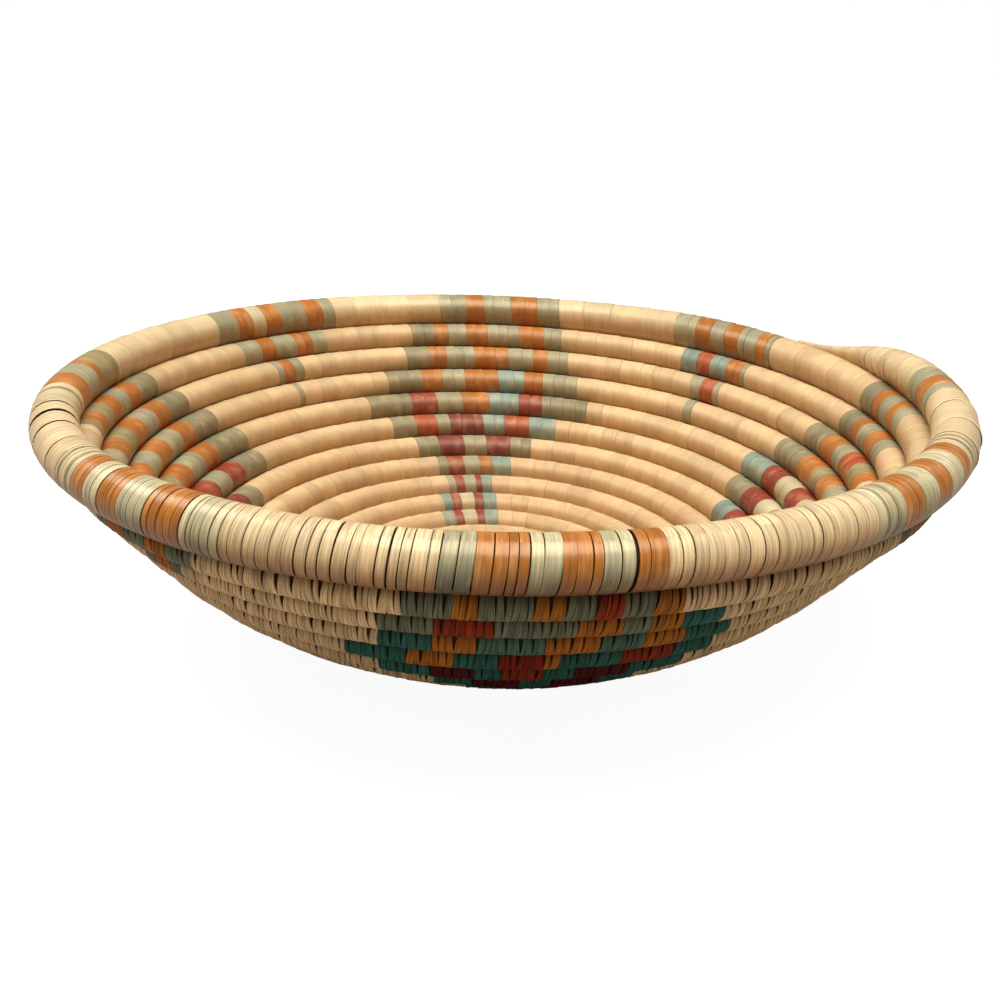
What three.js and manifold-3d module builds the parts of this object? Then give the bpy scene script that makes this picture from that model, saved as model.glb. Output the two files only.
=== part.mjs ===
import * as THREE from "three";
import Module from "manifold-3d";

// A coiled basket: a shallow round bowl sewn from one foundation bundle that winds outward in a
// single spiral. Sewing strips wrap the bundle all the way and hold every turn to the one before.
// Millimetres, +Z up, the flat of the base at z = 0 and the middle of the outline on Z.

// Wrapped coil
const COIL_DIAMETER = 10.8; // bowl coil over its strips
const RIM_COIL_DIAMETER = 14.3; // thicker bundle of the last turn
const TAIL_TIP_DIAMETER = 6.5; // end of the last turn, thinned out
const START_TIP_DIAMETER = 5; // thin end that the spiral starts from
const TURN_CLEARANCE = 0.4; // between the strips of touching turns
const WRAP_THICKNESS = 1.2; // sewing strip, doubled where a new one is laid in
const BORE_CLEARANCE = 0.35; // strips round the bundle
const END_CLEARANCE = 0.3; // between one stretch of strips and the next
const REST_DEPTH = 0.2; // flat of the resting turns, as a share of the coil's radius
const STITCH_WIDTH = 3; // strip seen between two rows
const STITCH_THICKNESS = 2;
const STITCH_BITE = 0.6; // into each row's strips, as a share of their thickness

// Profile of the bowl, from the middle of the base outward along the turns
const FLAT_RADIUS = 26.6; // flat middle of the base
const BELLY_RADIUS = 120; // curve from the base up into the wall
const BELLY_ANGLE = 48.9; // slope of the wall, degrees
const WALL_LENGTH = 26; // straight stretch of the wall
const SHOULDER_RADIUS = 55.7; // curve that turns the wall up to the rim
const RIM_ANGLE = 70.6; // slope under the rim, degrees

// Winding, counted in turns back from the tail end
const TAIL_AZIMUTH = 35.5; // where the last turn ends, degrees from +X
const TAIL_TAPER_TURNS = 0.08; // length over which the end thins out
const TAIL_DROP_ANGLE = 38; // that it slips down the outside of the turn below, degrees
const RIM_FULL_TURNS = 0.6; // last stretch at the rim's full thickness
const THICKENING_TURNS = 1; // over which the bowl coil grows to it
const START_TAPER_LENGTH = 16; // profile length over which the start thickens
const START_CLEARANCE = 0.6; // inner side of the first bend to the axis
const BASE_STRETCHES = 7; // equal stretches of natural strips from the start to the wall

// Motifs of coloured strips, in the order that the coil meets them from its tail inward. The
// half widths run from the rim down, a row each, in degrees. Four stepped lozenges reach far down
// the wall, and four stepped triangles hang from the rim between them. Wound by eye, the stretch
// on the rim is a little off the middle of the rows below.
const MOTIFS = [
  { name: "right", rim: 356.5, centre: 3, rows: [4.8, 7.5, 9, 14, 18, 23, 21, 15.5, 11] },
  { name: "front_right", rim: 320.5, centre: 326, rows: [13, 8, 3.3] },
  { name: "front", rim: 274.8, centre: 276.5, rows: [9.8, 14.5, 19, 22, 25, 21.5, 15.5, 11, 7.5] },
  { name: "front_left", rim: 231.6, centre: 227.5, rows: [13.1, 9, 3.5] },
  { name: "left", rim: 185.5, centre: 181.5, rows: [11, 14.5, 18, 22, 26, 21, 15.5, 11, 7.5] },
  { name: "back_left", rim: 135, centre: 135, rows: [12, 9.3, 3] },
  { name: "back", rim: 91, centre: 94.5, rows: [11.4, 15, 17, 21, 25.8, 20.6, 15.6, 11, 7.4] },
  { name: "back_right", rim: 46.5, centre: 46.5, rows: [10.3, 7.3, 3.3] },
];

// Facets
const RIM_STEPS = 40; // a turn of the rim
const BOWL_STEPS = 20; // a turn of the bowl
const BASE_STEPS = 10; // a turn of the base
const FINE_TURNS = 12.4; // turns of the rim and the bowl, in from the tail
const CORE_SIDES = 6;
const BOWL_SIDES = 6;
const RIM_SIDES = 8;

const NATURAL = 0xe0bf8e;
const NATURAL_RIM = 0xe3c697;
const SAGE = 0x979a78;
const ORANGE = 0xc4752f;
const BUNDLE = 0xc3a56b;

const radians = THREE.MathUtils.degToRad;
const bellyAngle = radians(BELLY_ANGLE);
const rimAngle = radians(RIM_ANGLE);
const bellyEnd = FLAT_RADIUS + BELLY_RADIUS * bellyAngle;
const wallEnd = bellyEnd + WALL_LENGTH;
const outerLength = wallEnd + SHOULDER_RADIUS * (rimAngle - bellyAngle);
const restHeight = (1 - REST_DEPTH) * (COIL_DIAMETER / 2);

// Point and slope of the bowl's profile at a length s from the middle.
function profile(s) {
  const flat = Math.min(s, FLAT_RADIUS);
  let r = flat;
  let z = restHeight;
  let slope = 0;
  if (s > FLAT_RADIUS) {
    slope = Math.min((s - FLAT_RADIUS) / BELLY_RADIUS, bellyAngle);
    r += BELLY_RADIUS * Math.sin(slope);
    z += BELLY_RADIUS * (1 - Math.cos(slope));
  }
  if (s > bellyEnd) {
    const run = Math.min(s - bellyEnd, WALL_LENGTH);
    r += run * Math.cos(bellyAngle);
    z += run * Math.sin(bellyAngle);
  }
  if (s > wallEnd) {
    slope = bellyAngle + (s - wallEnd) / SHOULDER_RADIUS;
    r += SHOULDER_RADIUS * (Math.sin(slope) - Math.sin(bellyAngle));
    z += SHOULDER_RADIUS * (Math.cos(bellyAngle) - Math.cos(slope));
  }
  return { r, z, slope };
}

// Thickening of the coil towards the rim, before its two ends are thinned.
function bodyDiameter(t) {
  const u = (RIM_FULL_TURNS + THICKENING_TURNS - t) / THICKENING_TURNS;
  const grown = THREE.MathUtils.smoothstep(u, 0, 1);
  return THREE.MathUtils.lerp(COIL_DIAMETER, RIM_COIL_DIAMETER, grown);
}

// Each turn lies against the one inside it, so its place on the profile follows from the
// diameters of the two.
function wind(t, diameter) {
  if (t > 1) return wind(t - 1, diameter) - (diameter(t) + diameter(t - 1)) / 2 - TURN_CLEARANCE;
  return outerLength - t * ((diameter(1) + diameter(0)) / 2 + TURN_CLEARANCE);
}

// The start is thinner, so that it curls tightly round the middle.
function startedDiameter(t) {
  const reached = wind(t, bodyDiameter);
  const grown = THREE.MathUtils.smoothstep(reached, START_TIP_DIAMETER / 2, START_TAPER_LENGTH);
  return THREE.MathUtils.lerp(START_TIP_DIAMETER, bodyDiameter(t), grown);
}

function wrappedDiameter(t) {
  const thinned = 1 - THREE.MathUtils.smoothstep(t, 0, TAIL_TAPER_TURNS);
  return THREE.MathUtils.lerp(startedDiameter(t), TAIL_TIP_DIAMETER, thinned);
}

// The thinned tail stays down on the turn that carries it.
function coilLength(t) {
  return wind(t, startedDiameter) - (startedDiameter(t) - wrappedDiameter(t)) / 2;
}

// Cross-section frame: centre, direction towards the next turn, and the bowl's inner normal. The
// thinned tail slips round the turn below towards the outside.
function frameAt(t) {
  const azimuth = radians(TAIL_AZIMUTH - 360 * t);
  const side = new THREE.Vector3(Math.sin(azimuth), -Math.cos(azimuth), 0);
  const { r, z, slope } = profile(coilLength(t));
  const centre = new THREE.Vector3(Math.cos(azimuth) * r, Math.sin(azimuth) * r, z);
  const along = new THREE.Vector3(Math.cos(azimuth), Math.sin(azimuth), 0);
  along.applyAxisAngle(side, slope);
  if (t < TAIL_TAPER_TURNS) {
    const drop = radians(TAIL_DROP_ANGLE) * (1 - THREE.MathUtils.smoothstep(t, 0, TAIL_TAPER_TURNS));
    const below = frameAt(t + 1).centre;
    centre.sub(below).applyAxisAngle(side, -drop).add(below);
    along.applyAxisAngle(side, -drop);
  }
  return { centre, along, inner: new THREE.Vector3().crossVectors(side, along) };
}

// Turns back from the tail to where the first bend leaves room round the axis.
function turnsToStart() {
  const firstBend = START_TIP_DIAMETER / 2 + START_CLEARANCE;
  let low = 0;
  let high = 1;
  while (coilLength(high) > firstBend) high += 1;
  for (let k = 0; k < 40; k++) {
    const half = (low + high) / 2;
    if (coilLength(half) > firstBend) low = half;
    else high = half;
  }
  return low;
}

// Stations of the winding from the tail inward. All turns share their azimuths, so that the
// facets of touching turns run side by side.
function windingStations() {
  const start = turnsToStart();
  const list = [0];
  for (;;) {
    const t = list[list.length - 1];
    const rim = t < 1 + 1 / RIM_STEPS - 1e-9;
    const steps = rim ? RIM_STEPS : t < FINE_TURNS ? BOWL_STEPS : BASE_STEPS;
    const next = (Math.floor(t * steps + 1e-6) + 1) / steps;
    if (next > start - 0.3 / steps) return [...list, start];
    list.push(next);
  }
}

const stations = windingStations();
const coilStart = stations[stations.length - 1];

// One polygon of the coil's surface at a station or between two of them.
function ring(t, radiusAt, sides, cutFlat) {
  const upper = stations.findIndex((v) => v >= t - 1e-9);
  if (Math.abs(stations[upper] - t) > 1e-9) {
    const near = stations[upper - 1];
    const far = stations[upper];
    const a = ring(near, radiusAt, sides, cutFlat);
    const b = ring(far, radiusAt, sides, cutFlat);
    return a.map((p, i) => p.lerp(b[i], (t - near) / (far - near)));
  }
  const { centre, along, inner } = frameAt(t);
  const radius = radiusAt(t);
  return Array.from({ length: sides }, (_, i) => {
    const turn = (2 * Math.PI * i) / sides;
    const p = centre.clone();
    p.addScaledVector(along, radius * Math.cos(turn));
    p.addScaledVector(inner, radius * Math.sin(turn));
    if (cutFlat) p.z = Math.max(p.z, 0);
    return p;
  });
}

const wrapRadius = (t) => wrappedDiameter(t) / 2;
const boreRadius = (t) => wrapRadius(t) - WRAP_THICKNESS;
const bundleRadius = (t) => boreRadius(t) - BORE_CLEARANCE;

const wasm = await Module();
wasm.setup();

// A closed surface as a solid, turned so that its faces point out.
function solid(points, faces) {
  const volume = faces.reduce((sum, [a, b, c]) => {
    const edge = new THREE.Vector3().crossVectors(points[b], points[c]);
    return sum + points[a].dot(edge);
  }, 0);
  const triangles = faces.flatMap(([a, b, c]) => (volume < 0 ? [a, c, b] : [a, b, c]));
  return new wasm.Manifold(
    new wasm.Mesh({
      numProp: 3,
      vertProperties: new Float32Array(points.flatMap((p) => p.toArray())),
      triVerts: new Uint32Array(triangles),
    }),
  );
}

function meshOf(body, colour, roughness) {
  const { vertProperties, triVerts } = body.getMesh();
  const geometry = new THREE.BufferGeometry();
  geometry.setAttribute("position", new THREE.BufferAttribute(vertProperties, 3));
  geometry.setIndex(new THREE.BufferAttribute(triVerts, 1));
  geometry.computeVertexNormals();
  const material = new THREE.MeshStandardMaterial({
    color: colour,
    roughness,
    metalness: 0,
    flatShading: true,
  });
  return new THREE.Mesh(geometry, material);
}

// Quads between successive rings of one surface.
function skin(first, count, sides) {
  const faces = [];
  for (let k = 0; k + 1 < count; k++) {
    for (let i = 0; i < sides; i++) {
      const a = first + k * sides + i;
      const b = first + k * sides + ((i + 1) % sides);
      faces.push([a, b, b + sides], [a, b + sides, a + sides]);
    }
  }
  return faces;
}

// Sections of a stretch of coil: its two ends and every station between them.
function sectionsOf(from, to) {
  const between = stations.filter((t) => t > from + 1e-6 && t < to - 1e-6);
  return [from, ...between, to];
}

// The foundation bundle: one unbroken tube from the first bend to the tail.
function bundle() {
  const sections = sectionsOf(0, coilStart);
  const points = sections.flatMap((t) => ring(t, bundleRadius, CORE_SIDES, false));
  const faces = skin(0, sections.length, CORE_SIDES);
  const last = points.length - CORE_SIDES;
  for (let i = 1; i + 1 < CORE_SIDES; i++) {
    faces.push([0, i + 1, i], [last, last + i, last + i + 1]);
  }
  return solid(points, faces);
}

// A stretch of strips: a sleeve round the bundle, open at both ends.
function sleeve(from, to, sides) {
  const sections = sectionsOf(from, to);
  const outer = sections.flatMap((t) => ring(t, wrapRadius, sides, true));
  const bore = sections.flatMap((t) => ring(t, boreRadius, CORE_SIDES, false));
  const points = [...outer, ...bore];
  const faces = skin(0, sections.length, sides);
  for (const [a, b, c] of skin(outer.length, sections.length, CORE_SIDES)) faces.push([a, c, b]);
  const circle = (n, radius) =>
    Array.from({ length: n }, (_, i) => {
      const turn = (2 * Math.PI * i) / n;
      return new THREE.Vector2(radius * Math.cos(turn), radius * Math.sin(turn));
    });
  [0, sections.length - 1].forEach((k, end) => {
    const t = sections[k];
    const face = THREE.ShapeUtils.triangulateShape(circle(sides, wrapRadius(t)), [
      circle(CORE_SIDES, boreRadius(t)),
    ]);
    const at = (i) => (i < sides ? k * sides + i : outer.length + k * CORE_SIDES + i - sides);
    for (const [a, b, c] of face) faces.push(end ? [at(a), at(b), at(c)] : [at(a), at(c), at(b)]);
  });
  return solid(points, faces);
}

// Half of the clearance between two stretches, as a share of a turn.
function halfEnd(t) {
  return END_CLEARANCE / 2 / (2 * Math.PI * profile(coilLength(t)).r);
}

// A stitch at one azimuth, through the facing walls of a turn and the next one inward.
function stitch(t) {
  const azimuth = radians(TAIL_AZIMUTH - 360 * t);
  const along = new THREE.Vector3(-Math.sin(azimuth), Math.cos(azimuth), 0);
  const outerWall = ring(t, wrapRadius, 2, false)[1];
  const innerWall = ring(t + 1, wrapRadius, 2, false)[0];
  const across = outerWall.clone().sub(innerWall).normalize();
  const through = new THREE.Vector3().crossVectors(along, across);
  outerWall.addScaledVector(across, STITCH_BITE * WRAP_THICKNESS);
  innerWall.addScaledVector(across, -STITCH_BITE * WRAP_THICKNESS);
  const points = [innerWall, outerWall].flatMap((end) =>
    [
      [-1, -1],
      [1, -1],
      [1, 1],
      [-1, 1],
    ].map(([u, v]) =>
      end
        .clone()
        .addScaledVector(along, (u * STITCH_WIDTH) / 2)
        .addScaledVector(through, (v * STITCH_THICKNESS) / 2),
    ),
  );
  const faces = [...skin(0, 2, 4), [0, 2, 1], [0, 3, 2], [4, 5, 6], [4, 6, 7]];
  return solid(points, faces);
}

// Stretches of one kind of strip on neighbouring rows, sewn together wherever a stitch line
// crosses two of them. A line runs at one azimuth from one turn inward to another.
function sewn(stretches, lines) {
  let body = stretches.map(([from, to]) => sleeve(from, to, BOWL_SIDES)).reduce((a, b) => a.add(b));
  const holds = (t) => stretches.some(([from, to]) => t > from && t < to);
  for (const [azimuth, first, last] of lines) {
    for (let row = first; row <= last; row++) {
      const t = turnsBack(azimuth) + row;
      if (holds(t) && holds(t + 1)) body = body.add(stitch(t));
    }
  }
  return body;
}

const turnsBack = (azimuth) => {
  const t = (TAIL_AZIMUTH - azimuth) / 360;
  return t - Math.floor(t);
};

const basket = new THREE.Group();
function add(name, mesh) {
  mesh.name = name;
  basket.add(mesh);
  return mesh;
}

add("foundation_bundle", meshOf(bundle(), BUNDLE, 0.9));

// Every stretch of coloured strips along the coil, from the tail inward.
const coloured = MOTIFS.flatMap(({ name, rim, centre, rows }) =>
  rows.map((half, row) => {
    const middle = turnsBack(row ? centre : rim) + row;
    return { name, row, start: middle - half / 360, end: middle + half / 360 };
  }),
).sort((a, b) => a.start - b.start);

// Natural stretches fill what is left between them. Those on the rim stand alone, and those
// lower down belong to the quarter of the wall between two lozenges.
const lozenges = MOTIFS.filter(({ rows }) => rows.length > 3);
const quarters = new Map(lozenges.map(({ name }) => [name, []]));
const motifRows = new Map(MOTIFS.map(({ name }) => [name, []]));
let reached = 0;
let quarter = "";
for (const { name, row, start, end } of coloured) {
  const trimmed = [start + halfEnd(start), end - halfEnd(end)];
  const gap = [reached ? reached + halfEnd(reached) : 0, start - halfEnd(start)];
  if (row === 0) {
    const label = reached ? "rim_natural_before_" + name : "rim_natural_tail";
    add(label, meshOf(sleeve(...gap, RIM_SIDES), NATURAL_RIM, 0.5));
    add("rim_motif_" + name, meshOf(sleeve(...trimmed, RIM_SIDES), ORANGE, 0.5));
  } else {
    quarters.get(quarter).push(gap);
    motifRows.get(name).push(trimmed);
  }
  if (quarters.has(name)) quarter = name;
  reached = end;
}

// Stitch lines: through the middle of each motif, down both sides of each triangle, and on down
// from its tip.
const widest = ({ rows }) => Math.max(...rows);
MOTIFS.forEach((motif, i) => {
  const { name, centre, rows } = motif;
  const lines = [[centre, 1, rows.length]];
  add("motif_" + name, meshOf(sewn(motifRows.get(name), lines), SAGE, 0.6));
  if (quarters.has(name)) return;
  const before = MOTIFS[i - 1];
  const after = MOTIFS[(i + 1) % MOTIFS.length];
  const rise = (from, to) => THREE.MathUtils.euclideanModulo(to - from, 360);
  const right = centre + rows[1] + (rise(centre, before.centre) - rows[1] - widest(before)) / 2;
  const left = centre - rows[1] - (rise(after.centre, centre) - rows[1] - widest(after)) / 2;
  const sides = [right, left].map((azimuth) => [azimuth, 1, rows.length]);
  const below = [centre, rows.length, before.rows.length];
  add("natural_" + name, meshOf(sewn(quarters.get(before.name), [...sides, below]), NATURAL, 0.6));
});

// Base: natural strips, about a turn to a stretch, from under the lozenges to the start.
const baseEnd = (i) => reached + ((coilStart - reached) * i) / BASE_STRETCHES;
for (let i = 0; i < BASE_STRETCHES; i++) {
  const from = baseEnd(i) + halfEnd(baseEnd(i));
  const innermost = i === BASE_STRETCHES - 1;
  const to = innermost ? coilStart : baseEnd(i + 1) - halfEnd(baseEnd(i + 1));
  const name = "base_row_" + String(i + 1).padStart(2, "0");
  add(name, meshOf(sleeve(from, to, BOWL_SIDES), NATURAL, 0.6));
}

// Start knot: the bound end of the bundle, in the eye that the first turn leaves.
const startAzimuth = radians(TAIL_AZIMUTH - 360 * coilStart);
const knotAzimuth = startAzimuth - radians(60);
const knotOffset = 0.6 * START_TIP_DIAMETER;
const knotCentre = new THREE.Vector2(Math.cos(knotAzimuth), Math.sin(knotAzimuth));
knotCentre.multiplyScalar(knotOffset);
let room = Math.abs(knotOffset * Math.sin(radians(60)));
for (let t = coilStart; t > coilStart - 1; t -= 1 / 96) {
  const surface = ring(t, wrapRadius, BOWL_SIDES, false);
  for (let i = 0; i < BOWL_SIDES; i++) {
    const p = surface[i];
    room = Math.min(room, Math.hypot(p.x - knotCentre.x, p.y - knotCentre.y));
  }
}
const knotRadius = room - BORE_CLEARANCE;
const knotHeight = restHeight + COIL_DIAMETER / 2;
const knotEdge = knotRadius / 3;
const knotProfile = [
  [0, 0],
  [knotRadius - knotEdge, 0],
  [knotRadius, knotEdge],
  [knotRadius, knotHeight - knotEdge],
  [knotRadius - knotEdge, knotHeight - knotEdge / 4],
  [0, knotHeight],
].map(([x, y]) => new THREE.Vector2(x, y));
const knotGeometry = new THREE.LatheGeometry(knotProfile, 12).rotateX(Math.PI / 2);
const knotMaterial = new THREE.MeshStandardMaterial({ color: SAGE, roughness: 0.7, metalness: 0 });
const knot = add("start_knot", new THREE.Mesh(knotGeometry, knotMaterial));
knot.position.set(knotCentre.x, knotCentre.y, 0);

// The winding grows outward, so its axis is not quite the middle of the outline.
const middle = new THREE.Box3().setFromObject(basket).getCenter(new THREE.Vector3());
basket.position.set(-middle.x, -middle.y, 0);

// Least gaps, measured on points of the surfaces: the bundle to itself a turn further in, and
// the strips of one row to those of the next.
function leastGap(radiusAt, sides, from) {
  let least = Infinity;
  for (let t = from; t + 1 <= coilStart; t += 1 / 96) {
    const outer = ring(t, radiusAt, sides, false);
    for (const near of [-1, 0, 1]) {
      const inward = Math.min(t + 1 + near / 96, coilStart);
      for (const p of ring(inward, radiusAt, sides, false)) {
        for (const q of outer) least = Math.min(least, p.distanceTo(q));
      }
    }
  }
  return least.toFixed(2);
}
console.log(
  "turns",
  coilStart.toFixed(3),
  "least gap of the bundle to itself",
  leastGap(bundleRadius, CORE_SIDES, 0),
  "mm, of the strips from row to row",
  leastGap(wrapRadius, CORE_SIDES, 0),
  "mm",
);
console.log(
  "knot radius",
  knotRadius.toFixed(2),
  "mm, axis at",
  basket.position.x.toFixed(2),
  basket.position.y.toFixed(2),
);

export default basket;
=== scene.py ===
import math

import bmesh
import bpy
import numpy as np
from mathutils import Euler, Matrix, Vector


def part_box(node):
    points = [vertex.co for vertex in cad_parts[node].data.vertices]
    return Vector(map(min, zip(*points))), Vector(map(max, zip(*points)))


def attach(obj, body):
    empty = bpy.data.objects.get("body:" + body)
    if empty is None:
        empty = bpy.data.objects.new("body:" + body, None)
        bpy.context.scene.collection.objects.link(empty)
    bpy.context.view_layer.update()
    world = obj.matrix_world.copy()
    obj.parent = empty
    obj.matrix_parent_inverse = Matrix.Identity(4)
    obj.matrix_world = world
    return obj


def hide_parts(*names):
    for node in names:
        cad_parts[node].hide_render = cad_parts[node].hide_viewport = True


# The setting: a pale sheet that the bowl stands on, a broad soft light above it, and the camera
# at the photograph's height and distance.
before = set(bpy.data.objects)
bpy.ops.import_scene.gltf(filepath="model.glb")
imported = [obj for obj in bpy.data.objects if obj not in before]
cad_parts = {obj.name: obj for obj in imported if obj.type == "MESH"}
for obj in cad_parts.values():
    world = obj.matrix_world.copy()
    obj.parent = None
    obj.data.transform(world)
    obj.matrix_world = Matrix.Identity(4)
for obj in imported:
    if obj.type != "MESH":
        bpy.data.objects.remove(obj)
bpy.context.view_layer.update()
scene = bpy.context.scene
scene.view_settings.view_transform = "Standard"


def linear(code):
    """An sRGB hex colour as linear RGBA."""
    parts = [int(code[i : i + 2], 16) / 255 for i in (1, 3, 5)]
    return tuple(c / 12.92 if c <= 0.04045 else ((c + 0.055) / 1.055) ** 2.4 for c in parts) + (1,)


def node(tree, kind, settings=None, **inputs):
    """A new node with its settings, and its inputs set to values or linked to sockets."""
    made = tree.nodes.new(kind)
    for key, value in (settings or {}).items():
        setattr(made, key, value)
    for key, value in inputs.items():
        name = key.replace("_", " ")
        socket = made.inputs[int(name[1:])] if name[0] == "i" and name[1:].isdigit() else made.inputs[name]
        if isinstance(value, bpy.types.NodeSocket):
            tree.links.new(value, socket)
        else:
            socket.default_value = value
    return made


def blank_material(name):
    made = bpy.data.materials.new(name)
    made.use_nodes = True
    made.node_tree.nodes.clear()
    return made, made.node_tree


paper, tree = blank_material("pale_paper")
path = node(tree, "ShaderNodeLightPath")
matt = node(tree, "ShaderNodeBsdfDiffuse", Color=linear("#BEB9B1"))
lit = node(tree, "ShaderNodeBsdfDiffuse", Color=linear("#7C7C7C"))
where = node(tree, "ShaderNodeNewGeometry")
away = node(tree, "ShaderNodeVectorMath", {"operation": "LENGTH"}, i0=where.outputs["Position"])
glow = node(
    tree, "ShaderNodeMapRange", Value=away.outputs[1], From_Min=0.3, From_Max=1.1, To_Min=0.945, To_Max=1.0
)
white = node(tree, "ShaderNodeEmission", Color=(1, 1, 1, 1), Strength=glow.outputs[0])
seen = node(tree, "ShaderNodeAddShader", i0=lit.outputs[0], i1=white.outputs[0])
sheet = node(
    tree, "ShaderNodeMixShader", i0=path.outputs["Is Camera Ray"], i1=matt.outputs[0], i2=seen.outputs[0]
)
node(tree, "ShaderNodeOutputMaterial", Surface=sheet.outputs[0])

floor_mesh = bpy.data.meshes.new("floor")
floor_mesh.from_pydata([(-6, -6, 0), (6, -6, 0), (6, 6, 0), (-6, 6, 0)], [], [(0, 1, 2, 3)])
floor = bpy.data.objects.new("floor", floor_mesh)
floor.location.z = -0.0004
floor_mesh.materials.append(paper)
scene.collection.objects.link(floor)

world = bpy.data.worlds.new("studio")
scene.world = world
world.use_nodes = True
tree = world.node_tree
tree.nodes.clear()
path = node(tree, "ShaderNodeLightPath")
soft = node(tree, "ShaderNodeBackground", Color=linear("#FFF7EC"), Strength=0.2)
white = node(tree, "ShaderNodeBackground", Color=(1, 1, 1, 1), Strength=1.0)
sky = node(
    tree, "ShaderNodeMixShader", i0=path.outputs["Is Camera Ray"], i1=soft.outputs[0], i2=white.outputs[0]
)
node(tree, "ShaderNodeOutputWorld", Surface=sky.outputs[0])


def lamp(name, at, to, size, power, colour):
    data = bpy.data.lights.new(name, "AREA")
    data.shape = "DISK"
    data.size = size
    data.energy = power
    data.color = linear(colour)[:3]
    made = bpy.data.objects.new(name, data)
    made.location = at
    made.rotation_euler = (Vector(to) - Vector(at)).to_track_quat("-Z", "Y").to_euler()
    scene.collection.objects.link(made)


lamp("overhead", (0.0, -0.3, 1.1), (0, 0, 0.05), 1.0, 15.0, "#FFF4E2")
lamp("left_window", (-0.75, 0.3, 0.85), (0, 0, 0.05), 0.6, 4.6, "#FFF6EA")
lamp("right_window", (0.8, 0.5, 0.75), (0, 0, 0.05), 0.6, 0.9, "#FFF6EA")

# Spiral axis, and the middle of the rim at the height of its coil, in metres.
AXIS = Vector((-0.00138, 0.00166, 0))
RIM_MIDDLE = AXIS + Vector((0, 0, 0.0766))
CAMERA_DISTANCE = 0.4011
CAMERA_ELEVATION = math.radians(16.45)
CAMERA_ROLL = math.radians(1.96)
camera_data = bpy.data.cameras.new("camera")
camera_data.sensor_width = 36
camera_data.lens = 42.77
camera_data.shift_x = -0.0014
camera_data.shift_y = -0.110
camera_data.clip_start = 0.01
camera = bpy.data.objects.new("camera", camera_data)
back = Vector((0, -math.cos(CAMERA_ELEVATION), math.sin(CAMERA_ELEVATION)))
camera.location = RIM_MIDDLE + back * CAMERA_DISTANCE
aimed = (-back).to_track_quat("-Z", "Y")
camera.rotation_euler = (aimed @ Euler((0, 0, CAMERA_ROLL)).to_quaternion()).to_euler()
scene.collection.objects.link(camera)
scene.camera = camera

# Foundation bundle: one bundle of dry grass stems that winds outward in a single spiral from
# the middle of the base to a thin tail on the rim. Every turn lies against the one before it.
# Lengths are in mm, and t counts the turns back from the end of the tail.
MM = 0.001
COIL = 10.8  # diameter over the strips
RIM_COIL = 14.3
TAIL_TIP = 4.6
START_TIP = 5.0
TURN_GAP = 0.4
FLAT_RADIUS = 26.6
BELLY_RADIUS = 120.0
BELLY_ANGLE = math.radians(48.9)
WALL_LENGTH = 26.0
SHOULDER_RADIUS = 55.7
RIM_ANGLE = math.radians(70.6)
TAIL_AZIMUTH = 35.5
TAIL_TAPER = 0.09  # turns over which the tail thins
TAIL_DROP = math.radians(45)  # the tail slips down the outside of the turn below
DROP_TURNS = 0.07
CROWDING = 2.0  # the turn under the tail is thicker, where its strips hold the tail too
CROWDED_AT = 0.97
CROWDED_TURNS = 0.08
RIM_FULL = 0.6
THICKENING = 1.0
START_TAPER = 16.0
REST_HEIGHT = 0.8 * COIL / 2
BELLY_END = FLAT_RADIUS + BELLY_RADIUS * BELLY_ANGLE
WALL_END = BELLY_END + WALL_LENGTH
OUTER_END = WALL_END + SHOULDER_RADIUS * (RIM_ANGLE - BELLY_ANGLE)
COIL_START = 15.739
hand = np.random.default_rng(7)


def smooth(x, low, high):
    x = np.clip((x - low) / (high - low), 0, 1)
    return x * x * (3 - 2 * x)


def body_diameter(t):
    return COIL + (RIM_COIL - COIL) * smooth((RIM_FULL + THICKENING - t) / THICKENING, 0, 1)


def wind(t, diameter):
    """Length along the bowl's profile at t turns back from the tail."""
    t = np.asarray(t, float)
    whole = np.maximum(np.ceil(t - 1 - 1e-9), 0)
    rest = t - whole
    length = OUTER_END - rest * ((diameter(1.0) + diameter(0.0)) / 2 + TURN_GAP)
    for step in range(int(whole.max(initial=0))):
        inward = rest + step + 1
        gap = (diameter(inward) + diameter(inward - 1)) / 2 + TURN_GAP
        length = np.where(step < whole, length - gap, length)
    return length


def started_diameter(t):
    """Diameter with the thin start, and without the taper of the tail."""
    grown = smooth(wind(t, body_diameter), START_TIP / 2, START_TAPER)
    return START_TIP + (body_diameter(t) - START_TIP) * grown


def coil_diameter(t):
    thinned = 1 - smooth(t, 0, TAIL_TAPER)
    return started_diameter(t) * (1 - thinned) + TAIL_TIP * thinned


def seat(t):
    """Radius, height and slope of the bowl's profile where the coil lies."""
    s = wind(t, started_diameter) - (started_diameter(t) - coil_diameter(t)) / 2
    slope = np.clip((s - FLAT_RADIUS) / BELLY_RADIUS, 0, BELLY_ANGLE)
    run = np.clip(s - BELLY_END, 0, WALL_LENGTH)
    bend = np.maximum(s - WALL_END, 0) / SHOULDER_RADIUS
    r = np.minimum(s, FLAT_RADIUS) + BELLY_RADIUS * np.sin(slope) + run * np.cos(BELLY_ANGLE)
    z = REST_HEIGHT + BELLY_RADIUS * (1 - np.cos(slope)) + run * np.sin(BELLY_ANGLE)
    r = r + SHOULDER_RADIUS * (np.sin(BELLY_ANGLE + bend) - np.sin(BELLY_ANGLE))
    z = z + SHOULDER_RADIUS * (np.cos(BELLY_ANGLE) - np.cos(BELLY_ANGLE + bend))
    return r, z, slope + bend


def crowding(t):
    return CROWDING * np.exp(-(((t - CROWDED_AT) / CROWDED_TURNS) ** 2))


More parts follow.
